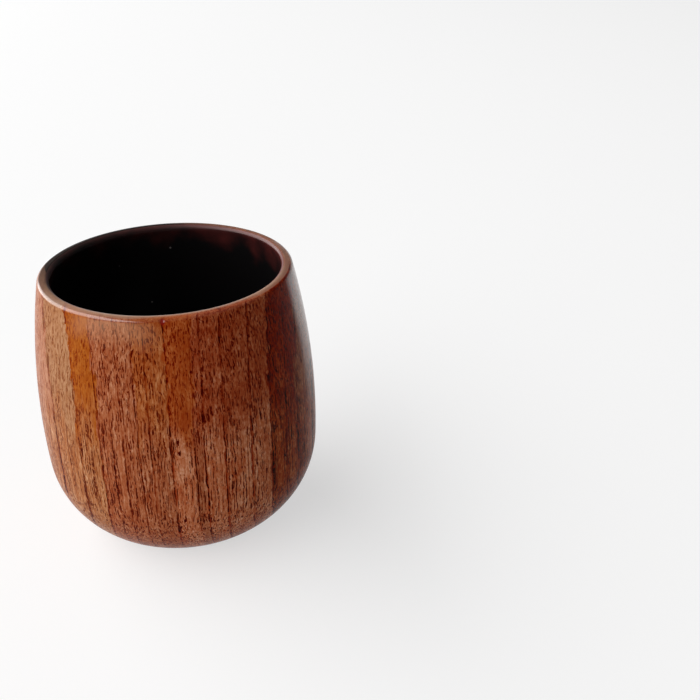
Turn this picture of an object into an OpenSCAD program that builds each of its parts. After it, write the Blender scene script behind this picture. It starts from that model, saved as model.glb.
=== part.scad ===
// Turned wooden teacup without a handle: a barrel-shaped cup of hardwood,
// lacquered inside, with a wooden disc glued into the recess of its foot.
// Millimetres, +Z up, origin at the middle of the foot on the table.

/* [Outside] */
// Height of the cup
cup_h = 75; // [62:1:95]
// Diameter at the belly, the widest place
belly_d = 75; // [74:0.1:84]
// Height of the belly above the table
belly_z = 31.5; // [28:0.1:39]
// Diameter of the mouth, where the wall runs into the lip
mouth_d = 65.6; // [60:0.1:67]
// Radius of the round below the belly
shoulder_r = 26.5; // [18:0.5:28]
// Radius of the tighter round that runs into the foot
foot_edge_r = 11; // [8:0.5:13]
// Diameter of the flat ring that the cup stands on
foot_d = 38; // [34:0.2:44]

/* [Lip] */
// Thickness of the wall where it runs into the lip
lip_t = 3.1; // [2.8:0.1:4.5]
// Slope of the lip's face, down towards the outside, in degrees
lip_slope = 8; // [0:1:20]
// Radius of the lip's outer edge
lip_edge_r = 1.1; // [0.6:0.1:1.4]
// Radius of the lip's inner edge
lip_in_r = 1; // [0.6:0.1:1.3]

/* [Inside] */
// Thickness of the wall at the belly, with its lacquer
wall_t = 4; // [3:0.25:5]
// Height of the inside floor above the table
floor_z = 8; // [6.5:0.5:12]
// Radius of the round between the inside floor and the wall
corner_r = 22; // [14:1:26]
// Thickness of the lacquer on the inside
lacquer_t = 0.3; // [0.2:0.05:0.5]
// How far the lacquer climbs around the lip's inner edge, in degrees
lacquer_climb = 70; // [0:5:80]

/* [Base] */
// Diameter of the recess turned into the foot
recess_d = 30.4; // [24:0.2:32]
// Depth of the disc's face below the foot ring
disc_step = 0.8; // [0.4:0.1:1.4]
// Thickness of the disc
disc_t = 3; // [2:0.25:3.5]
// Thickness of the glue between the disc and the recess
glue_t = 0.2; // [0.1:0.05:0.3]
// Bevel on the edges of the recess and of the disc
edge_bevel = 0.3; // [0.1:0.05:0.5]

/* [Hidden] */
// Flat steps of a full turn, where the model is shown as a mesh
$fn = 180;

// Straight steps that each arc of a section is drawn with
arc_steps = 16;

// Sections are drawn in the plane of the radius (x) and the height (y).

// Point on a circle, at an angle from its centre
function on_circle(centre, radius, angle) = centre + radius * [cos(angle), sin(angle)];

// Points of an arc after the one that it starts at
function arc(centre, radius, start, end) =
    [for (i = [1:arc_steps]) on_circle(centre, radius, start + (end - start) * i / arc_steps)];

// Angle of the line from one point to another
function heading(from, to) = atan2(to.y - from.y, to.x - from.x);

// Upper point that lies at distance da from point a and db from point b
function meeting(a, da, b, db) =
    let (
        gap = norm(b - a),
        along = (gap ^ 2 + da ^ 2 - db ^ 2) / (2 * gap),
        aside = sqrt(da ^ 2 - along ^ 2),
        way = (b - a) / gap
    )
    a + along * way + aside * [-way.y, way.x];

// Points in the opposite order
function reversed(points) = [for (i = [len(points) - 1:-1:0]) points[i]];

// Outside: each arc runs into the next without a corner
belly_r = belly_d / 2;
foot_r = foot_d / 2;
lip_face = lip_t - lip_edge_r - lip_in_r;
lip_drop = (lip_edge_r - lip_in_r + lip_face * sin(lip_slope)) / cos(lip_slope);
rise = cup_h - lip_in_r - lip_drop - belly_z;
taper = (belly_d - mouth_d) / 2;
wall_r = (rise ^ 2 + taper ^ 2) / (2 * taper);
wall_c = [belly_r - wall_r, belly_z];
wall_end = asin(rise / (wall_r - lip_edge_r));
lip_edge_c = on_circle(wall_c, wall_r - lip_edge_r, wall_end);
foot_edge_c = [foot_r, foot_edge_r];
shoulder_c = meeting(wall_c, wall_r - shoulder_r, foot_edge_c, shoulder_r - foot_edge_r);
foot_edge_end = heading(shoulder_c, foot_edge_c);
shoulder_end = heading(wall_c, shoulder_c);

// Inside: the wall runs into the lip and into the floor without a corner.
// Its radius is below zero where the wall has to lean out towards the lip.
lip_in_c = [lip_edge_c.x - lip_face, cup_h - lip_in_r];
inside_rise = lip_in_c.y - belly_z;
inside_r = belly_r - wall_t;
lip_offset = lip_in_c.x - inside_r;
inside_wall_r = (lip_offset ^ 2 + inside_rise ^ 2 - lip_in_r ^ 2) / (2 * (lip_in_r - lip_offset));
inside_wall_c = [inside_r - inside_wall_r, belly_z];
inside_wall_end = asin(inside_rise / (inside_wall_r + lip_in_r));
corner_end = asin((floor_z + corner_r - belly_z) / (inside_wall_r - corner_r));
corner_c = on_circle(inside_wall_c, inside_wall_r - corner_r, corner_end);

// Directions, seen from the middle of the lip's inner edge
lip_face_end = 90 - lip_slope;
lip_wood_end = 180 - lacquer_climb;
lip_wall_end = 180 + inside_wall_end;

// Base: from the face of the disc up to the floor of the recess
recess_r = recess_d / 2;
disc_r = recess_r - glue_t;
disc_top = disc_step + disc_t;
recess_top = disc_top + glue_t;
glue_face = disc_step + edge_bevel;

// Outside of the wood, from the foot ring up and over the lip
outside_line = concat(
    [[foot_r, 0]],
    arc(foot_edge_c, foot_edge_r, -90, foot_edge_end),
    arc(shoulder_c, shoulder_r, foot_edge_end, shoulder_end),
    arc(wall_c, wall_r, shoulder_end, wall_end),
    arc(lip_edge_c, lip_edge_r, wall_end, lip_face_end),
    [on_circle(lip_in_c, lip_in_r, lip_face_end)],
    arc(lip_in_c, lip_in_r, lip_face_end, lip_wood_end)
);

// Inside of the cup at a depth below its finished face, from the lip down to the middle of the floor
function inside_line(depth) = concat(
    [on_circle(lip_in_c, lip_in_r - depth, lip_wood_end)],
    arc(lip_in_c, lip_in_r - depth, lip_wood_end, lip_wall_end),
    arc(inside_wall_c, inside_wall_r + depth, inside_wall_end, corner_end),
    arc(corner_c, corner_r + depth, corner_end, -90),
    [[0, floor_z - depth]]
);

// Recess in the foot, with a bevelled rim
recess_line = [
    [0, recess_top],
    [recess_r, recess_top],
    [recess_r, edge_bevel],
    [recess_r + edge_bevel, 0]
];

// Cup turned from one block of hardwood with upright fibres
module cup_body() {
    color("#8f4a2a")
        rotate_extrude()
            polygon(concat(outside_line, inside_line(lacquer_t), recess_line));
}

// Dark lacquer that lines the inside up to the lip
module inner_lacquer() {
    color("#0b0606")
        rotate_extrude()
            polygon(concat(inside_line(0), reversed(inside_line(lacquer_t))));
}

// Wooden disc in the recess, with a bevel around the face that shows
module base_disc() {
    color("#7a5545")
        rotate_extrude()
            polygon([
                [0, disc_step],
                [disc_r - edge_bevel, disc_step],
                [disc_r, glue_face],
                [disc_r, disc_top],
                [0, disc_top]
            ]);
}

// Glue around the disc and behind it
module base_glue() {
    color("#2a1a12")
        rotate_extrude()
            polygon([
                [disc_r, glue_face],
                [recess_r, glue_face],
                [recess_r, recess_top],
                [0, recess_top],
                [0, disc_top],
                [disc_r, disc_top]
            ]);
}

cup_body();
inner_lacquer();
base_disc();
base_glue();
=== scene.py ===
# Turned wooden teacup without a handle, standing on a pale table.
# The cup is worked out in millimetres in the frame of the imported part, and turned to metres where
# its meshes are made. The table and the window are given in metres.

import math
from types import SimpleNamespace

import bpy
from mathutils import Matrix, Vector


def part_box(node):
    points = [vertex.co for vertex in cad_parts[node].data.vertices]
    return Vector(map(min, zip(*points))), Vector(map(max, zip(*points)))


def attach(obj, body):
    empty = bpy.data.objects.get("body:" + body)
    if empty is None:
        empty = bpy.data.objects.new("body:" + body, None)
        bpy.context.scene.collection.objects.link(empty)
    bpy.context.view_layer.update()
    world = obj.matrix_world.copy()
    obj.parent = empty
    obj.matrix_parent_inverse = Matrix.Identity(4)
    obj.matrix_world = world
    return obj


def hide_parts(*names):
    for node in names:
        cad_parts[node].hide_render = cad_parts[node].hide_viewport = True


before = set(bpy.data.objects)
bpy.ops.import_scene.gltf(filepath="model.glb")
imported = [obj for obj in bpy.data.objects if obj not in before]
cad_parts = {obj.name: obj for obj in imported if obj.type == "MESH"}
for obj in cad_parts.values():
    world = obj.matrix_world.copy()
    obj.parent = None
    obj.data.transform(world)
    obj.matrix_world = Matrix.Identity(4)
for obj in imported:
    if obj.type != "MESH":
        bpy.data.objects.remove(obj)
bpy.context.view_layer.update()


# Cup body
# One block of ring-porous hardwood with upright fibres, turned outside and inside, sanded and
# given a clear satin varnish. The face of the lip slopes outwards, and the foot is a flat ring.
MM = 0.001
body_low, body_high = (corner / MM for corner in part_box("cup_body"))
cup_h = body_high.z - body_low.z
belly_r = body_high.x
belly_z = 31.5
mouth_r = 32.8
shoulder_r = 26.5
foot_edge_r = 11.0
foot_r = 19.0
wall_t = 4.0
lip_t = 3.1
lip_slope = math.radians(8)
lip_edge_r = 1.1
lip_in_r = 1.0
floor_z = 8.0
corner_r = 22.0
lacquer_t = 0.3
lacquer_climb = math.radians(70)


def on_circle(centre, radius, angle):
    return Vector((centre.x + radius * math.cos(angle), centre.y + radius * math.sin(angle)))


def arc(centre, radius, start, end, step):
    """Points of an arc of a section, about a step apart, with both its ends."""
    count = math.ceil(abs(radius * (end - start)) / step)
    return [on_circle(centre, radius, start + (end - start) * i / count) for i in range(count + 1)]


def meeting(a, from_a, b, from_b):
    """Upper point at the given distances from the points a and b."""
    gap = (b - a).length
    way = (b - a) / gap
    along = (gap**2 + from_a**2 - from_b**2) / (2 * gap)
    aside = math.sqrt(from_a**2 - along**2)
    return a + along * way + aside * Vector((-way.y, way.x))


def heading(start, end):
    return math.atan2(end.y - start.y, end.x - start.x)


# Centres of the arcs of the section, in the plane of the radius and the height
lip_face = lip_t - lip_edge_r - lip_in_r
lip_drop = (lip_edge_r - lip_in_r + lip_face * math.sin(lip_slope)) / math.cos(lip_slope)
rise = cup_h - lip_in_r - lip_drop - belly_z
taper = belly_r - mouth_r
wall_r = (rise**2 + taper**2) / (2 * taper)
wall_c = Vector((belly_r - wall_r, belly_z))
wall_end = math.asin(rise / (wall_r - lip_edge_r))
lip_edge_c = on_circle(wall_c, wall_r - lip_edge_r, wall_end)
foot_edge_c = Vector((foot_r, foot_edge_r))
shoulder_c = meeting(wall_c, wall_r - shoulder_r, foot_edge_c, shoulder_r - foot_edge_r)
foot_edge_end = heading(shoulder_c, foot_edge_c)
shoulder_end = heading(wall_c, shoulder_c)
lip_in_c = Vector((lip_edge_c.x - lip_face, cup_h - lip_in_r))
inside_rise = lip_in_c.y - belly_z
inside_r = belly_r - wall_t
lip_offset = lip_in_c.x - inside_r
inside_wall_r = (lip_offset**2 + inside_rise**2 - lip_in_r**2) / (2 * (lip_in_r - lip_offset))
inside_wall_c = Vector((inside_r - inside_wall_r, belly_z))
inside_wall_end = math.asin(inside_rise / (inside_wall_r + lip_in_r))
corner_end = math.asin((floor_z + corner_r - belly_z) / (inside_wall_r - corner_r))
corner_c = on_circle(inside_wall_c, inside_wall_r - corner_r, corner_end)

# Directions in the section, with those on the lip seen from the middle of its inner edge
UP = math.pi / 2
DOWN = -UP
lip_face_end = UP - lip_slope
lip_wood_end = math.pi - lacquer_climb
lip_wall_end = math.pi + inside_wall_end
bare_lip_r = on_circle(lip_in_c, lip_in_r, lip_wood_end).x

disc_low, disc_high = (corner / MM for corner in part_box("base_disc"))
glue_low, glue_high = (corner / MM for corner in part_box("base_glue"))
disc_r = disc_high.x
recess_r = glue_high.x
recess_top = glue_high.z
edge_bevel = glue_low.z - disc_low.z

# Straight steps along an arc: on the lip, on the faces that show, and on the wood behind the lacquer
fine_step = 0.2
face_step = 0.8
hidden_step = 3.0
outside_line = (
    arc(foot_edge_c, foot_edge_r, DOWN, foot_edge_end, face_step)
    + arc(shoulder_c, shoulder_r, foot_edge_end, shoulder_end, face_step)
    + arc(wall_c, wall_r, shoulder_end, wall_end, face_step)
    + arc(lip_edge_c, lip_edge_r, wall_end, lip_face_end, fine_step)
    + arc(lip_in_c, lip_in_r, lip_face_end, lip_wood_end, fine_step)
)
recess_line = [
    Vector((0, recess_top)),
    Vector((recess_r, recess_top)),
    Vector((recess_r, edge_bevel)),
    Vector((recess_r + edge_bevel, 0)),
]


def inside_line(depth, lip_step, wall_step):
    """Inside of the cup at a depth below its finished face, from the lip to the middle of the floor."""
    return (
        arc(lip_in_c, lip_in_r - depth, lip_wood_end, lip_wall_end, lip_step)
        + arc(inside_wall_c, inside_wall_r + depth, inside_wall_end, corner_end, wall_step)
        + arc(corner_c, corner_r + depth, corner_end, DOWN, wall_step)
        + [Vector((0, floor_z - depth))]
    )


bare_inside_line = inside_line(lacquer_t, fine_step, hidden_step)

# Edges sharper than the crease stay sharp, and points nearer than the weld are one point
crease = math.radians(25)
weld = 0.001
turn_steps = 512


def turned(name, section):
    """A closed section in millimetres, turned round the upright axis into a smooth mesh in metres."""
    before = section[-1:] + section[:-1]
    section = [p for p, last in zip(section, before) if (p - last).length > weld]
    turns = [2 * math.pi * i / turn_steps for i in range(turn_steps)]
    places, rings, faces = [], [], []
    for p in section:
        ring = [(0, 0, p.y)]
        if p.x > weld:
            ring = [(p.x * math.cos(a), p.x * math.sin(a), p.y) for a in turns]
        rings.append(range(len(places), len(places) + len(ring)))
        places += [[c * MM for c in point] for point in ring]
    for low, high in zip(rings, rings[1:] + rings[:1]):
        if len(low) + len(high) == 2:
            continue
        for i in range(turn_steps):
            j = (i + 1) % turn_steps
            corners = [low[i % len(low)], low[j % len(low)], high[j % len(high)], high[i % len(high)]]
            faces.append(list(dict.fromkeys(corners)))
    mesh = bpy.data.meshes.new(name)
    mesh.from_pydata(places, [], faces)
    mesh.shade_smooth()
    mesh.set_sharp_from_angle(angle=crease)
    piece = bpy.data.objects.new(name, mesh)
    bpy.context.scene.collection.objects.link(piece)
    return piece


def linear(colour):
    """An sRGB hex colour as the linear colour that a shader takes."""
    shares = [int(colour[i : i + 2], 16) / 255 for i in (1, 3, 5)]
    return [s / 12.92 if s <= 0.04045 else ((s + 0.055) / 1.055) ** 2.4 for s in shares] + [1]


def node(tree, kind, inputs, out=0, **settings):
    """Adds one node with its settings, feeds its inputs with values or sockets, gives one output.
    Inputs go by name or by number. MapRange takes a value 0 between 1 and 2 to one between 3 and 4,
    and Mix takes the share 0 of its second input: 2 and 3 are numbers, 6 and 7 are colours."""
    made = tree.nodes.new("ShaderNode" + kind)
    for name, value in settings.items():
        setattr(made, name, value)
    for key, value in inputs.items():
        if isinstance(value, bpy.types.NodeSocket):
            tree.links.new(value, made.inputs[key])
        else:
            made.inputs[key].default_value = value
    return made.outputs[out]


# Ring-porous hardwood, turned and varnished. It gives the eye upright dark lines where each year
# begins, years of pinkish, orange and red brown side by side, and dark pores that are long where
# the wall stands upright, short where it leans and round across the foot. The varnish adds a soft sheen.
# How far the middle of the tree is from the axis of the cup, and where the first ring starts, seen
# from that axis
pith_away = 267.0
first_ring = -46.8
# Sizes of the unevenness in the wood, twice across the fibres and then along them
swing_span = (12, 12, 25)
wander_span = (2, 2, 4)
fibre_span = (0.5, 0.5, 8)
drift_span = (4, 4, 14)
fleck_span = (0.42, 0.42, 1.1)
cloud_span = (4, 4, 6)
break_span = (2, 2, 4)
open_span = (0.6, 0.6, 1.1)
wander_rough = 0.6
# How far rings swing, vessels wander, fibres feather a change of tone and the tone strays from its ring
swing_size = 0.9
wander_size = 1.1
feather = 2.0
tone_drift = 4.0
# Heights where a ring leaves its low tone and reaches its high one, and how far they stray
low_tone_top = 36.0
high_tone_foot = 54.0
tone_stray = 36.0
# Most of a noise lies between these two
noise_low = 0.3
noise_high = 0.7
# Depth of stain that fibres, flecks and patches add or lack, and that pores and year lines hold.
# Pores and lines hold more of it low on the wood than high.
fibre_stain = 0.21
fleck_stain = 0.23
cloud_stain = 0.17
pore_stain_low = 3.6
pore_stain_high = 2.8
line_stain_low = 1.4
line_stain_high = 0.8
# Shares of a year after which the dark line at its start fades and ends, and so for the row of
# wide vessels there
line_dark = 0.03
line_end = 0.12
row_full = 0.08
row_end = 0.2
# Noise below which a year line is broken and above which it is whole, and what a break leaves of it
break_low = 0.42
break_high = 0.58
break_leaves = 0.1
# How crowded the vessels are when a year starts, when it ends, and in the row of wide ones
first_crowd = 1.3
last_crowd = 0.8
row_crowd = 1.1
# Spacing and radius of the vessels, drawn a little wide so that they show
vessels = ((0.6, 0.17), (0.38, 0.125))
row_vessels = ((0.6, 0.22),)
# Luck from which a vessel is as wide as that, softness of its edge, and depth and strength of its relief
full_luck = 0.6
pore_edge = 0.08
pore_depth = 0.08
pore_relief = 0.4
# Noise below which a vessel is shut and above which it is open, and what shows of a shut one
open_low = 0.4
open_high = 0.5
shut_share = 0.1
# Share of its pores that a tone shows, and the share from which its stain is lively
usual_openness = 0.5
lively_openness = 0.6
# How far wood faces up where varnish starts to seal it and has sealed it, and what shows of its pores
seal_from = 0.3
seal_full = 0.7
sealed_share = 0.25
# The varnish is rubbed out thin and takes the warm tone of the wood, so its index is set low
varnish_index = 1.1
varnish_tint = "#ffa86c"
varnish_rough = 0.24
bare_rough = 0.5
# How far wood faces up or down where it starts to be end grain and where it is all end grain
end_grain_from = 0.8
end_grain_full = 0.97


def ring_porous_wood(name, turn, lean, rings, tones, openness):
    """Material of wood with upright fibres, and the sockets that further finish goes by.
    Turn and lean are angles of the grain, about the upright axis and away from it. Each ring has its
    width and its tone high and low on the wood. Openness says of a tone how much of its pores show,
    where that isn't the usual share."""
    material = bpy.data.materials.new(name)
    material.use_nodes = True
    tree = material.node_tree
    place = node(tree, "TexCoord", {}, out="Object")
    across = node(tree, "Mapping", {"Vector": place, "Scale": [1 / MM] * 3, "Rotation": (0, 0, -turn)})
    grain = node(tree, "Mapping", {"Vector": across, "Rotation": (0, lean, 0)})
    height = node(tree, "SeparateXYZ", {0: grain}, out="Z")

    # Rings swing slowly, and vessels wander a little as they climb, so the surface cuts them short
    swing_at = node(tree, "VectorMath", {0: grain, 1: swing_span}, operation="DIVIDE")
    swing = node(tree, "TexNoise", {"Vector": swing_at, "Scale": 1, "Detail": 1}, out="Color")
    wander_at = node(tree, "VectorMath", {0: grain, 1: wander_span}, operation="DIVIDE")
    wandering = {"Vector": wander_at, "Scale": 1, "Detail": 3, "Roughness": wander_rough}
    wander = node(tree, "TexNoise", wandering, out="Color")
    both = (swing_size + wander_size) / 2
    centred = node(tree, "VectorMath", {0: grain, 1: (-both, -both, 0)}, operation="ADD")
    swung = node(
        tree, "VectorMath", {0: swing, 1: (swing_size, swing_size, 0), 2: centred}, operation="MULTIPLY_ADD"
    )
    vessel = node(
        tree, "VectorMath", {0: wander, 1: (wander_size, wander_size, 0), 2: swung}, operation="MULTIPLY_ADD"
    )
    from_pith = node(tree, "VectorMath", {0: vessel, 1: (pith_away, 0, 0)}, operation="ADD")
    flat = node(tree, "VectorMath", {0: from_pith, 1: (1, 1, 0)}, operation="MULTIPLY")
    reach = node(tree, "VectorMath", {0: flat}, out="Value", operation="LENGTH")

    # Rings are counted outwards: the whole part is the year, the rest how far that year has grown.
    # The tone changes near the year line, wandering from it, and the fibres feather the change.
    fibre_at = node(tree, "VectorMath", {0: vessel, 1: fibre_span}, operation="DIVIDE")
    fibre = node(tree, "TexNoise", {"Vector": fibre_at, "Scale": 1, "Detail": 3})
    drift_at = node(tree, "VectorMath", {0: grain, 1: drift_span}, operation="DIVIDE")
    drift = node(tree, "TexNoise", {"Vector": drift_at, "Scale": 1, "Detail": 3})
    toned = node(tree, "Math", {0: fibre, 1: feather, 2: reach}, operation="MULTIPLY_ADD")
    toned = node(tree, "Math", {0: drift, 1: tone_drift, 2: toned}, operation="MULTIPLY_ADD")
    late = (feather + tone_drift) / 2
    edge = pith_away + first_ring
    outer_edge = edge + sum(ring[0] for ring in rings)
    along = node(tree, "MapRange", {0: toned, 1: edge + late, 2: outer_edge + late})
    upper = node(tree, "ValToRGB", {0: along})
    lower = node(tree, "ValToRGB", {0: along})
    count = 0.0
    start = edge
    for i, (width, *both_tones) in enumerate(rings):
        for ramp, tone in zip((upper.node.color_ramp, lower.node.color_ramp), both_tones):
            ramp.interpolation = "CONSTANT"
            stop = ramp.elements[i] if i < len(ramp.elements) else ramp.elements.new(1.0)
            stop.position = (start - edge) / (outer_edge - edge)
            stop.color = linear(tones[tone])
            stop.alpha = openness.get(tone, usual_openness)
        grown = node(tree, "MapRange", {0: reach, 1: start, 2: start + width})
        count = node(tree, "Math", {0: count, 1: grown}, operation="ADD")
        start += width
    season = node(tree, "Math", {0: count}, operation="FRACT")

    # Ground tone: a year can change its tone along the fibres
    change_start = low_tone_top + tone_stray / 2
    change_end = high_tone_foot + tone_stray / 2
    lifted = node(tree, "Math", {0: drift, 1: tone_stray, 2: height}, operation="MULTIPLY_ADD")
    changing = {0: lifted, 1: change_start, 2: change_end}
    high = node(tree, "MapRange", changing, interpolation_type="SMOOTHSTEP")
    ground = node(tree, "Mix", {0: high, 6: lower, 7: upper}, out=2, data_type="RGBA")
    alphas = [ramp.node.outputs["Alpha"] for ramp in (lower, upper)]
    pore_share = node(tree, "Mix", {0: high, 2: alphas[0], 3: alphas[1]})

    # Depth of stain: some fibres, flecks and patches drank more of it than others
    fleck_at = node(tree, "VectorMath", {0: vessel, 1: fleck_span}, operation="DIVIDE")
    fleck = node(tree, "TexNoise", {"Vector": fleck_at, "Scale": 1, "Detail": 2})
    cloud_at = node(tree, "VectorMath", {0: vessel, 1: cloud_span}, operation="DIVIDE")
    cloud = node(tree, "TexNoise", {"Vector": cloud_at, "Scale": 1, "Detail": 2})
    stain = 0.0
    for noise, most in ((fibre, fibre_stain), (fleck, fleck_stain), (cloud, cloud_stain)):
        drunk = node(tree, "MapRange", {0: noise, 1: noise_low, 2: noise_high, 3: -most, 4: most})
        stain = node(tree, "Math", {0: stain, 1: drunk}, operation="ADD")

    # Year line: the first row of vessels, broken up along the fibres
    line = node(tree, "MapRange", {0: season, 1: line_dark, 2: line_end, 3: 1.0, 4: 0.0})
    broken_at = node(tree, "VectorMath", {0: vessel, 1: break_span}, operation="DIVIDE")
    broken_noise = node(tree, "TexNoise", {"Vector": broken_at, "Scale": 1, "Detail": 3})
    breaking = {0: broken_noise, 1: break_low, 2: break_high, 3: break_leaves, 4: 1.0}
    broken = node(tree, "MapRange", breaking)
    line = node(tree, "Math", {0: line, 1: broken}, operation="MULTIPLY")

    # Vessels: long tubes, crowded early in the year, then fewer, with a row of wide ones at its start.
    # Luck decides which of them are there and how wide they grow, and each is open only here and there.
    later = node(tree, "MapRange", {0: season, 3: first_crowd, 4: last_crowd})
    early = node(tree, "MapRange", {0: season, 1: row_full, 2: row_end, 3: row_crowd, 4: 0.0})
    pores = 0.0
    for crowd, sizes in ((later, vessels), (early, row_vessels)):
        for gap, size in sizes:
            cell_at = node(tree, "VectorMath", {0: vessel, 1: (gap, gap, 1)}, operation="DIVIDE")
            cell = node(tree, "TexVoronoi", {"Vector": cell_at, "Scale": 1}, voronoi_dimensions="2D")
            luck = node(tree, "SeparateColor", {0: cell.node.outputs["Color"]})
            there = node(tree, "Math", {0: crowd, 1: luck}, operation="SUBTRACT")
            radius = node(tree, "MapRange", {0: there, 1: 0.0, 2: full_luck, 3: 0.0, 4: size / gap})
            inside = node(tree, "Math", {0: radius, 1: cell}, operation="SUBTRACT")
            pit = node(tree, "MapRange", {0: inside, 1: 0.0, 2: pore_edge})
            pores = node(tree, "Math", {0: pores, 1: pit}, operation="MAXIMUM")
    open_at = node(tree, "VectorMath", {0: vessel, 1: open_span}, operation="DIVIDE")
    open_noise = node(tree, "TexNoise", {"Vector": open_at, "Scale": 1, "Detail": 2})
    opened = node(tree, "MapRange", {0: open_noise, 1: open_low, 2: open_high, 3: shut_share, 4: 1.0})
    pores = node(tree, "Math", {0: pores, 1: opened}, operation="MULTIPLY")

    # Where the wood faces up, varnish has sealed the ends of the vessels
    facing = node(tree, "NewGeometry", {}, out="Normal")
    upright = node(tree, "SeparateXYZ", {0: facing}, out="Z")
    sealed = node(tree, "MapRange", {0: upright, 1: seal_from, 2: seal_full, 3: 1.0, 4: sealed_share})
    pores = node(tree, "Math", {0: pores, 1: sealed}, operation="MULTIPLY")

    # Stain gathers in the pores and along the year lines.
    # The deeper it is, the darker and redder a tone turns. Tones with closed pores are calmer.
    lively = node(tree, "MapRange", {0: pore_share, 1: 0.0, 2: lively_openness})
    stain = node(tree, "Math", {0: stain, 1: lively, 2: 1.0}, operation="MULTIPLY_ADD")
    filled = node(tree, "Math", {0: pores, 1: pore_share}, operation="MULTIPLY")
    pore_stain = node(tree, "MapRange", {0: high, 3: pore_stain_low, 4: pore_stain_high})
    stain = node(tree, "Math", {0: filled, 1: pore_stain, 2: stain}, operation="MULTIPLY_ADD")
    line_stain = node(tree, "MapRange", {0: high, 3: line_stain_low, 4: line_stain_high})
    stain = node(tree, "Math", {0: line, 1: line_stain, 2: stain}, operation="MULTIPLY_ADD")
    colour = node(tree, "Gamma", {"Color": ground, "Gamma": stain})

    # Varnish sinks into the pores and the end grain and stays smooth between
    sunk = node(tree, "Math", {0: pores, 1: -1.0}, operation="MULTIPLY")
    relief = node(tree, "Bump", {"Height": sunk, "Strength": pore_relief, "Distance": pore_depth * MM})
    rough = node(tree, "MapRange", {0: pores, 3: varnish_rough, 4: bare_rough})
    ends = node(tree, "Math", {0: upright}, operation="ABSOLUTE")
    dulling = {0: ends, 1: end_grain_from, 2: end_grain_full, 3: 0.0, 4: bare_rough}
    dull = node(tree, "MapRange", dulling)
    rough = node(tree, "Math", {0: rough, 1: dull}, operation="MAXIMUM")
    finish = tree.nodes["Principled BSDF"]
    tree.links.new(colour, finish.inputs["Base Color"])
    tree.links.new(rough, finish.inputs["Roughness"])
    tree.links.new(relief, finish.inputs["Normal"])
    finish.inputs["IOR"].default_value = varnish_index
    finish.inputs["Specular Tint"].default_value = linear(varnish_tint)
    return SimpleNamespace(
        material=material,
        tree=tree,
        finish=finish,
        place=place,
        across=across,
        height=height,
        facing=facing,
        upright=upright,
        fleck=fleck,
        cloud=cloud,
        colour=colour,
    )


# Width of each year in millimetres, and its tone in the upper and in the lower half of the cup
cup_rings = (
    (6.4, "blush", "fawn"),
    (8.2, "blush", "fawn"),
    (6.8, "tan", "fawn"),
    (5.8, "orange", "fawn"),
    (3.2, "rose", "rose"),
    (2.9, "rose", "rose"),
    (3.8, "rose", "rose"),
    (2.8, "clay", "rose"),
    (4.9, "clay", "rose"),
    (5.9, "amber", "copper"),
    (2.2, "russet", "rose"),
    (4.7, "russet", "copper"),
    (6.4, "russet", "copper"),
    (4.9, "russet", "copper"),
    (4.1, "dark", "umber"),
    (3.2, "dark", "umber"),
    (4.8, "ash", "umber"),
    (6.0, "russet", "rose"),
    (6.0, "clay", "rose"),
)
cup_wood = ring_porous_wood(
    "varnished_turned_hardwood",
    turn=math.radians(12.4),
    lean=-0.0215,
    rings=cup_rings,
    tones={
        # The blush tone is partly painted sheen: paler and pinker than the wood, on the left edge of the cup
        "blush": "#ac7254",
        "tan": "#a97753",
        "fawn": "#aa6c44",
        "rose": "#a65e3c",
        "orange": "#a2541a",
        "clay": "#a6592d",
        "amber": "#a54c1f",
        "copper": "#bc6f4a",
        "russet": "#a04a28",
        "umber": "#9a441e",
        "dark": "#801f04",
        "ash": "#94502f",
    },
    openness={"blush": 0.28, "tan": 0.28, "orange": 0.24, "amber": 0.34, "copper": 1.0, "umber": 1.0},
)
cup = turned("turned_cup", outside_line + bare_inside_line + recess_line)
cup.data.materials.append(cup_wood.material)
tree = cup_wood.tree
across = cup_wood.across
height = cup_wood.height
upright = cup_wood.upright

# A nick in the outer edge of the lip, where the cup was once knocked. Stain has turned it red.
nick_turn = math.radians(-81.5)
nick_r = 0.9
nick_depth = 0.3
nick_red = "#86160e"
red_share = 0.9
red_full = 0.4
red_end = 0.8 * nick_r
red_stretch = (1, 1, 0.6)
nick_on = on_circle(lip_edge_c, lip_edge_r, math.radians(35))
nick_at = Vector((nick_on.x * math.cos(nick_turn), nick_on.x * math.sin(nick_turn), nick_on.y))
knock = Vector((nick_at.x, nick_at.y, nick_on.x)).normalized()
for point in cup.data.vertices:
    near = 1 - (point.co / MM - nick_at).length / nick_r
    if near > 0:
        point.co -= knock * near**2 * nick_depth * MM
spot = node(tree, "VectorMath", {0: cup_wood.place, 1: [1 / MM] * 3}, operation="MULTIPLY")
off_nick = node(tree, "VectorMath", {0: spot, 1: nick_at}, operation="SUBTRACT")
off_nick = node(tree, "VectorMath", {0: off_nick, 1: red_stretch}, operation="MULTIPLY")
from_nick = node(tree, "VectorMath", {0: off_nick}, out="Value", operation="LENGTH")
nicked = node(tree, "MapRange", {0: from_nick, 1: red_full, 2: red_end, 3: red_share, 4: 0.0})
colour = node(
    tree, "Mix", {0: nicked, 6: cup_wood.colour, 7: linear(nick_red)}, out=2, data_type="RGBA"
)

# The next marks each lie to one side of the cup. A way is a direction from its axis, turned with the
# grain, and a mark fades in between two distances that way.
# Painted sheen: below the front of the lip the wall is painted paler, as if it caught a soft sheen.
sheen_way = (-0.445, -0.896, 0)
sheen_from = 30.8
sheen_full = 32.7
sheen_foot = 67.3
sheen_top = 73.5
sheen_stray = 7.0
# Pale tone of the painted sheen, and the most of it that is mixed in
painted_sheen_tone = "#d9a883"
sheen_share = 0.32
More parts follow.
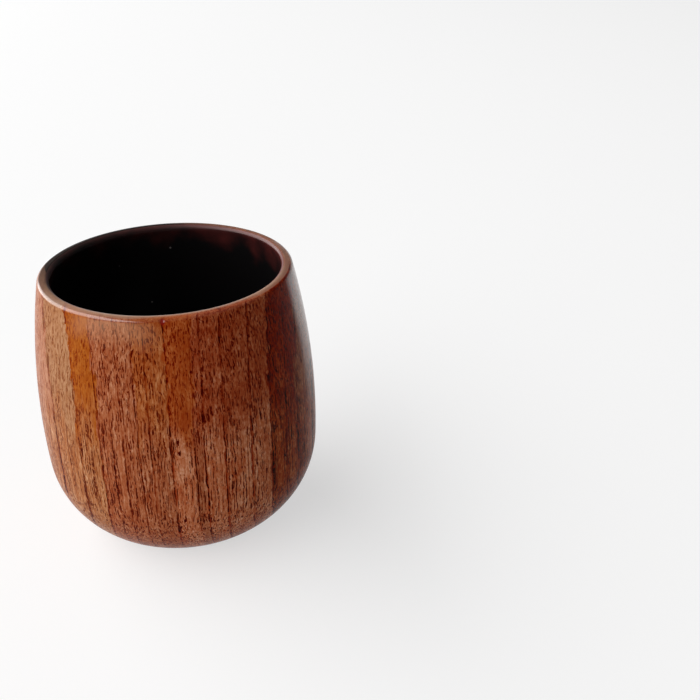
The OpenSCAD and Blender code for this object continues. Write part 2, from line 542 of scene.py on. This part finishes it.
# How far the wall faces up where the lip starts and where it is all lip
lip_from = 0.25
lip_full = 0.5
sheen_side = node(tree, "VectorMath", {0: across, 1: sheen_way}, out="Value", operation="DOT_PRODUCT")
painted_sheen = node(tree, "MapRange", {0: sheen_side, 1: sheen_from, 2: sheen_full})
uneven = node(tree, "Math", {0: cup_wood.cloud, 1: sheen_stray, 2: height}, operation="MULTIPLY_ADD")
sheen_fading = {0: uneven, 1: sheen_foot + sheen_stray / 2, 2: sheen_top + sheen_stray / 2, 3: 0.0, 4: sheen_share}
sheen_by_height = node(tree, "MapRange", sheen_fading)
painted_sheen = node(tree, "Math", {0: painted_sheen, 1: sheen_by_height}, operation="MULTIPLY")
below_lip = node(tree, "MapRange", {0: upright, 1: lip_from, 2: lip_full, 3: 1.0, 4: 0.0})
painted_sheen = node(tree, "Math", {0: painted_sheen, 1: below_lip}, operation="MULTIPLY")
colour = node(tree, "Mix", {0: painted_sheen, 6: colour, 7: linear(painted_sheen_tone)}, out=2, data_type="RGBA")

# The end grain of the lip drank more varnish, so its years are more alike in tone. The greyish tone
# is partly painted sheen on the face of the lip, so little of it is put on the front right, away from the
# window.
front_right_way = (0.22, -0.976, 0)
front_right_from = 27.5
front_right_full = 29.5
end_grain_and_sheen_tone = "#a07a64"
end_grain_and_sheen_share = 0.62
end_grain_and_sheen_left = 0.2
# How far the lip faces up beside its sloping face and on it
beside_face = 0.955
on_face = 0.985
end_grain_and_sheen = node(tree, "MapRange", {0: upright, 1: beside_face, 2: on_face, 3: 0.0, 4: end_grain_and_sheen_share})
front_right_side = node(
    tree, "VectorMath", {0: across, 1: front_right_way}, out="Value", operation="DOT_PRODUCT"
)
keeping = {0: front_right_side, 1: front_right_from, 2: front_right_full, 3: 1.0, 4: end_grain_and_sheen_left}
kept = node(tree, "MapRange", keeping)
end_grain_and_sheen = node(tree, "Math", {0: end_grain_and_sheen, 1: kept}, operation="MULTIPLY")
colour = node(tree, "Mix", {0: end_grain_and_sheen, 6: colour, 7: linear(end_grain_and_sheen_tone)}, out=2, data_type="RGBA")

# On one side the brush ran over the lip. A wash of the dark lacquer covers the face of the lip there,
# reaches less far over its inner edge beside that, and thins out towards the other side.
brushed_way = (-0.61, 0.79, 0)
brushed_from = 16.0
brushed_full = 28.0
thin_wash_from = -2.0
thin_wash_share = 0.95
wash_share = 0.97
wash_full = bare_lip_r + 0.1
wash_end = bare_lip_r + 0.7
lap_short = 1.0
lap_over = -2.8
lap_stray = 0.5
lacquer_wash = "#130d0e"
flat_place = node(tree, "VectorMath", {0: across, 1: (1, 1, 0)}, operation="MULTIPLY")
off_axis = node(tree, "VectorMath", {0: flat_place}, out="Value", operation="LENGTH")
ragged = node(tree, "Math", {0: cup_wood.fleck, 1: lap_stray, 2: off_axis}, operation="MULTIPLY_ADD")
brushed_side = node(tree, "VectorMath", {0: across, 1: brushed_way}, out="Value", operation="DOT_PRODUCT")
overrun = node(
    tree, "MapRange", {0: brushed_side, 1: brushed_from, 2: brushed_full, 3: lap_short, 4: lap_over}
)
lap = node(tree, "Math", {0: ragged, 1: overrun}, operation="ADD")
washed = node(tree, "MapRange", {0: lap, 1: wash_full, 2: wash_end, 3: wash_share, 4: 0.0})
thinly = {0: brushed_side, 1: thin_wash_from, 2: brushed_full, 3: 0.0, 4: thin_wash_share}
thin_wash = node(tree, "MapRange", thinly)
on_lip = node(tree, "Math", {0: height, 1: lip_in_c.y}, operation="GREATER_THAN")
washed = node(tree, "Math", {0: washed, 1: thin_wash}, operation="MAXIMUM")
washed = node(tree, "Math", {0: washed, 1: on_lip}, operation="MULTIPLY")
colour = node(tree, "Mix", {0: washed, 6: colour, 7: linear(lacquer_wash)}, out=2, data_type="RGBA")

# Painted highlight: a pale line along the inner edge of the lip, on the front right side
edge_highlight_from = 10.0
edge_highlight_full = 24.0
edge_highlight_share = 0.7
pale_full = bare_lip_r + 0.6
pale_end = bare_lip_r + 1.3
painted_edge_highlight = "#bc9e88"
edge_highlight = node(tree, "MapRange", {0: ragged, 1: pale_full, 2: pale_end, 3: edge_highlight_share, 4: 0.0})
edge_highlight = node(tree, "Math", {0: edge_highlight, 1: on_lip}, operation="MULTIPLY")
highlight_side = node(tree, "MapRange", {0: front_right_side, 1: edge_highlight_from, 2: edge_highlight_full})
edge_highlight = node(tree, "Math", {0: edge_highlight, 1: highlight_side}, operation="MULTIPLY")
colour = node(tree, "Mix", {0: edge_highlight, 6: colour, 7: linear(painted_edge_highlight)}, out=2, data_type="RGBA")

# Varnish that isn't rubbed out stands as a film, thickest on the edges of the lip, towards the side
# where it drained. Its index is a little above that of varnish, so that its thin line of light shows.
film_index = 1.75
film_rough = 0.12
drained_way = (-0.46, -0.89, 0)
drained_from = 8.0
drained_full = 22.0
film_least = 0.15
# How far an edge turns from the face of the lip where the film rises and is full, and its share on the face
film_from = 0.06
film_full = 0.25
film_on_face = 0.1
# How far the lip faces up where the film starts and is full
film_top_from = 0.45
film_top_full = 0.65
radial = node(tree, "VectorMath", {0: cup_wood.place, 1: (1, 1, 0)}, operation="MULTIPLY")
radial = node(tree, "VectorMath", {0: radial}, operation="NORMALIZE")
outward = node(tree, "VectorMath", {0: cup_wood.facing, 1: radial}, out="Value", operation="DOT_PRODUCT")
off_face = node(tree, "Math", {0: outward, 1: math.sin(lip_slope)}, operation="SUBTRACT")
off_face = node(tree, "Math", {0: off_face}, operation="ABSOLUTE")
film = node(tree, "MapRange", {0: off_face, 1: film_from, 2: film_full, 3: film_on_face, 4: 1.0})
top = node(tree, "MapRange", {0: upright, 1: film_top_from, 2: film_top_full})
film = node(tree, "Math", {0: film, 1: top}, operation="MULTIPLY")
drained_side = node(tree, "VectorMath", {0: across, 1: drained_way}, out="Value", operation="DOT_PRODUCT")
thick = node(
    tree, "MapRange", {0: drained_side, 1: drained_from, 2: drained_full, 3: film_least, 4: 1.0}
)
film = node(tree, "Math", {0: film, 1: thick}, operation="MULTIPLY")

# The cup dried mouth down, so the varnish ran towards the lip and gathered under it on one side.
# That side is a direction in the frame of the part.
gathered_way = (0.985, 0.174, 0)
gathered_from = 0.9
gathered_full = 0.935
gathered_foot = 36.0
gathered_top = 66.0
gathered_share = 0.66
gathered = node(tree, "VectorMath", {0: radial, 1: gathered_way}, out="Value", operation="DOT_PRODUCT")
gathered = node(tree, "MapRange", {0: gathered, 1: gathered_from, 2: gathered_full})
under_lip = node(
    tree, "MapRange", {0: height, 1: gathered_foot, 2: gathered_top, 3: 0.0, 4: gathered_share}
)
gathered = node(tree, "Math", {0: gathered, 1: under_lip}, operation="MULTIPLY")
film = node(tree, "Math", {0: film, 1: gathered}, operation="MAXIMUM")
tree.links.new(colour, cup_wood.finish.inputs["Base Color"])
tree.links.new(film, cup_wood.finish.inputs["Coat Weight"])
cup_wood.finish.inputs["Coat Roughness"].default_value = film_rough
cup_wood.finish.inputs["Coat IOR"].default_value = film_index
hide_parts("cup_body")
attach(cup, "root")


# Inner lacquer
# Several coats of dark lacquer brushed over the bare inside of the cup up to the inner edge of the
# lip. It is nearly black where it is thick and shows red brown where it thins at the rim. On the right
# the red brown is partly painted light, and the rim there has a painted sheen.
thick_lacquer = "#0c0a0b"
thin_and_lit_lacquer = "#4a1c1a"
rim_sheen_lacquer = "#6e3630"
dust_and_glint_grey = "#8a8482"
lacquer_rough = 0.3
lacquer_index = 1.45
# The coat thins towards the rim, sooner in some patches than elsewhere. On the right the red brown
# shows sooner as painted light, where the inner wall faces the window.
patch_span = (7, 7, 7)
patch_lift = 18.0
lit_side_lift = 0.08
thin_and_lit_from = 76.5
thin_and_lit_full = 87.5
# On the right the rim has a painted reddish sheen; on the left it is dull from the brush
rim_side_from = -10.0
rim_side_full = 15.0
rim_sheen_least = 0.15
rim_sheen_foot = lip_in_c.y + 0.1
rim_sheen_top = lip_in_c.y + 0.9
dull_foot = lip_in_c.y - 1.0
dull_top = lip_in_c.y
dull_rough = 0.5
# Specks of dust caught in the last coat, drawn a little wide so that they show. Their pale grey is
# partly painted glints.
speck_gap = 7.0
speck_r = 0.35
speck_core = 0.5 * speck_r
speck_share = 0.8
lacquer = bpy.data.materials.new("brushed_dark_lacquer")
lacquer.use_nodes = True
tree = lacquer.node_tree
place = node(tree, "TexCoord", {}, out="Object")
spot = node(tree, "Mapping", {"Vector": place, "Scale": [1 / MM] * 3})
height = node(tree, "SeparateXYZ", {0: spot}, out="Z")
side = node(tree, "SeparateXYZ", {0: spot}, out="X")
patch_at = node(tree, "VectorMath", {0: spot, 1: patch_span}, operation="DIVIDE")
patch = node(tree, "TexNoise", {"Vector": patch_at, "Scale": 1, "Detail": 3})
lifted = node(tree, "Math", {0: patch, 1: patch_lift, 2: height}, operation="MULTIPLY_ADD")
lifted = node(tree, "Math", {0: side, 1: lit_side_lift, 2: lifted}, operation="MULTIPLY_ADD")
thin_and_lit = node(tree, "MapRange", {0: lifted, 1: thin_and_lit_from, 2: thin_and_lit_full}, interpolation_type="SMOOTHSTEP")
colour = node(
    tree, "Mix", {0: thin_and_lit, 6: linear(thick_lacquer), 7: linear(thin_and_lit_lacquer)}, out=2, data_type="RGBA"
)
rim_sheen = node(tree, "MapRange", {0: height, 1: rim_sheen_foot, 2: rim_sheen_top})
rim_sheen_side = node(tree, "MapRange", {0: side, 1: rim_side_from, 2: rim_side_full, 3: rim_sheen_least, 4: 1.0})
rim_sheen = node(tree, "Math", {0: rim_sheen, 1: rim_sheen_side}, operation="MULTIPLY")
colour = node(tree, "Mix", {0: rim_sheen, 6: colour, 7: linear(rim_sheen_lacquer)}, out=2, data_type="RGBA")
speck_at = node(tree, "VectorMath", {0: spot, 1: [speck_gap] * 3}, operation="DIVIDE")
speck = node(tree, "TexVoronoi", {"Vector": speck_at, "Scale": 1})
speckling = {0: speck, 1: speck_core / speck_gap, 2: speck_r / speck_gap, 3: speck_share, 4: 0.0}
dust_and_glints = node(tree, "MapRange", speckling)
colour = node(tree, "Mix", {0: dust_and_glints, 6: colour, 7: linear(dust_and_glint_grey)}, out=2, data_type="RGBA")
dull_rim = node(tree, "MapRange", {0: height, 1: dull_foot, 2: dull_top})
dull_side = node(tree, "MapRange", {0: side, 1: rim_side_from, 2: rim_side_full, 3: dull_rough, 4: 0.0})
rough = node(tree, "Math", {0: dull_rim, 1: dull_side, 2: lacquer_rough}, operation="MULTIPLY_ADD")
finish = tree.nodes["Principled BSDF"]
tree.links.new(colour, finish.inputs["Base Color"])
tree.links.new(rough, finish.inputs["Roughness"])
finish.inputs["IOR"].default_value = lacquer_index
finished_inside_line = inside_line(0, fine_step, face_step)
lining = turned("lacquer_lining", finished_inside_line + bare_inside_line[::-1])
lining.data.materials.append(lacquer)
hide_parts("inner_lacquer")
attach(lining, "root")


# Base disc
# A thin disc of the same wood, sawn across another board, sanded and let into the recess of the foot.
# It is greyer than the cup, with year lines of its own and round pores.
disc_line = [
    Vector((0, disc_low.z)),
    Vector((disc_r - edge_bevel, disc_low.z)),
    Vector((disc_r, glue_low.z)),
    Vector((disc_r, disc_high.z)),
    Vector((0, disc_high.z)),
]
disc_wood = ring_porous_wood(
    "sanded_hardwood_disc",
    turn=math.radians(24),
    lean=0.0,
    rings=cup_rings,
    tones={
        "blush": "#8c6a58",
        "tan": "#8c6a58",
        "fawn": "#8c6856",
        "rose": "#865d4a",
        "orange": "#8c5f46",
        "clay": "#8c644c",
        "amber": "#845a46",
        "copper": "#8e6650",
        "russet": "#805844",
        "umber": "#7a5440",
        "dark": "#74503e",
        "ash": "#8a6654",
    },
    openness={},
)
disc = turned("foot_disc", disc_line)
disc.data.materials.append(disc_wood.material)
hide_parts("base_disc")
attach(disc, "root")


# Base glue
# The film of wood glue behind the disc and around it, which holds the disc in the recess.
# It has dried dark, blotched and matt, and shows as a thin line around the disc.
glue_dark = "#20130d"
glue_brown = "#35221a"
glue_rough = 0.6
blots_per_mm = 0.6
glue_line = [
    Vector((disc_r, glue_low.z)),
    Vector((recess_r, glue_low.z)),
    Vector((recess_r, recess_top)),
    Vector((0, recess_top)),
    Vector((0, disc_high.z)),
    Vector((disc_r, disc_high.z)),
]
glue = bpy.data.materials.new("dried_wood_glue")
glue.use_nodes = True
tree = glue.node_tree
place = node(tree, "TexCoord", {}, out="Object")
spot = node(tree, "Mapping", {"Vector": place, "Scale": [1 / MM] * 3})
blot = node(tree, "TexNoise", {"Vector": spot, "Scale": blots_per_mm, "Detail": 3})
colour = node(
    tree, "Mix", {0: blot, 6: linear(glue_dark), 7: linear(glue_brown)}, out=2, data_type="RGBA"
)
finish = tree.nodes["Principled BSDF"]
tree.links.new(colour, finish.inputs["Base Color"])
finish.inputs["Roughness"].default_value = glue_rough
seam = turned("glue_seam", glue_line)
seam.data.materials.append(glue)
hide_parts("base_glue")
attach(seam, "root")


# Table
# A flat top covered with matt white paper, wide enough to fill the view. Where it is seen it glows
# a little, so that it shows white and still keeps the soft shadow of the cup.
table_half = 3.0
table_glow = 0.6
lighting_tone = "#dcdcdc"
seen_tone = "#ffffff"
# Paper scatters light all round, so it is given no sheen at all
paper_rough = 0.9
paper_index = 1.0
table_mesh = bpy.data.meshes.new("table_top")
corners = [(-table_half, -table_half, 0), (table_half, -table_half, 0)]
corners += [(table_half, table_half, 0), (-table_half, table_half, 0)]
table_mesh.from_pydata(corners, [], [range(4)])
table = bpy.data.objects.new("table_top", table_mesh)
bpy.context.scene.collection.objects.link(table)
paper = bpy.data.materials.new("matt_white_paper")
paper.use_nodes = True
tree = paper.node_tree
finish = tree.nodes["Principled BSDF"]
finish.inputs["Roughness"].default_value = paper_rough
finish.inputs["IOR"].default_value = paper_index


def seen_share(tree):
    """One for rays that show something to the eye, straight, mirrored or through glass, else nought."""
    path = node(tree, "LightPath", {}).node.outputs
    seen = node(tree, "Math", {0: path["Is Camera Ray"], 1: path["Is Glossy Ray"]}, operation="ADD")
    return node(tree, "Math", {0: seen, 1: path["Is Transmission Ray"]}, operation="ADD")


seen = seen_share(tree)
paper_tone = node(
    tree, "Mix", {0: seen, 6: linear(lighting_tone), 7: linear(seen_tone)}, out=2, data_type="RGBA"
)
tree.links.new(paper_tone, finish.inputs["Base Color"])
glow = node(tree, "Emission", {"Color": linear(seen_tone)})
glowing = node(tree, "Math", {0: seen, 1: table_glow}, operation="MULTIPLY")
mixed = node(tree, "MixShader", {0: glowing, 1: finish.outputs[0], 2: glow})
tree.links.new(mixed, tree.nodes["Material Output"].inputs["Surface"])
table_mesh.materials.append(paper)


# Light
# A wide window on the left, a little towards the front, in a dim room.
# What is seen of the room is a white haze over the far edge of the table that fades upwards.
window = bpy.data.lights.new("window", "AREA")
window.shape = "RECTANGLE"
window.size = 7.2
window.size_y = 2.7
window.energy = 180
window_light = bpy.data.objects.new("window", window)
window_turn = math.radians(186)
window_rise = math.radians(36)
window_away = 2.4
aim = Vector((0, 0, 0.04))
away = Vector(
    (
        math.cos(window_turn) * math.cos(window_rise),
        math.sin(window_turn) * math.cos(window_rise),
        math.sin(window_rise),
    )
)
window_light.location = aim + away * window_away
window_light.rotation_euler = (-away).to_track_quat("-Z", "Y").to_euler()
window_light.visible_camera = False
bpy.context.scene.collection.objects.link(window_light)

room_level = 0.1
haze_from = 0.12
haze_end = 0.32
room = bpy.data.worlds.new("room")
room.use_nodes = True
tree = room.node_tree
seen = seen_share(tree)
direction = node(tree, "TexCoord", {}, out="Generated")
up = node(tree, "SeparateXYZ", {0: direction}, out="Z")
fading = {0: up, 1: haze_from, 2: haze_end, 3: 1.0, 4: room_level}
haze = node(tree, "MapRange", fading, interpolation_type="SMOOTHSTEP")
level = node(tree, "Mix", {0: seen, 2: room_level, 3: haze})
tree.links.new(level, tree.nodes["Background"].inputs["Strength"])
tree.nodes["Background"].inputs["Color"].default_value = linear("#ffffff")
bpy.context.scene.world = room


# Camera
# It looks down along +Y at the cup, which stands left of the middle of the picture.
# The lens is shifted a little, because the picture is a crop.
camera = bpy.data.cameras.new("camera")
camera.sensor_width = 36
camera.lens = 48.77
camera.shift_x = -0.0272
camera.shift_y = 0.0262
camera.clip_start = 0.01
eye = bpy.data.objects.new("camera", camera)
eye.location = Vector((52.7, -229.4, 171.1)) * MM
pitch = math.radians(28.95)
eye.rotation_euler = (math.pi / 2 - pitch, 0, 0)
bpy.context.scene.collection.objects.link(eye)
bpy.context.scene.camera = eye
bpy.context.scene.view_settings.view_transform = "Standard"
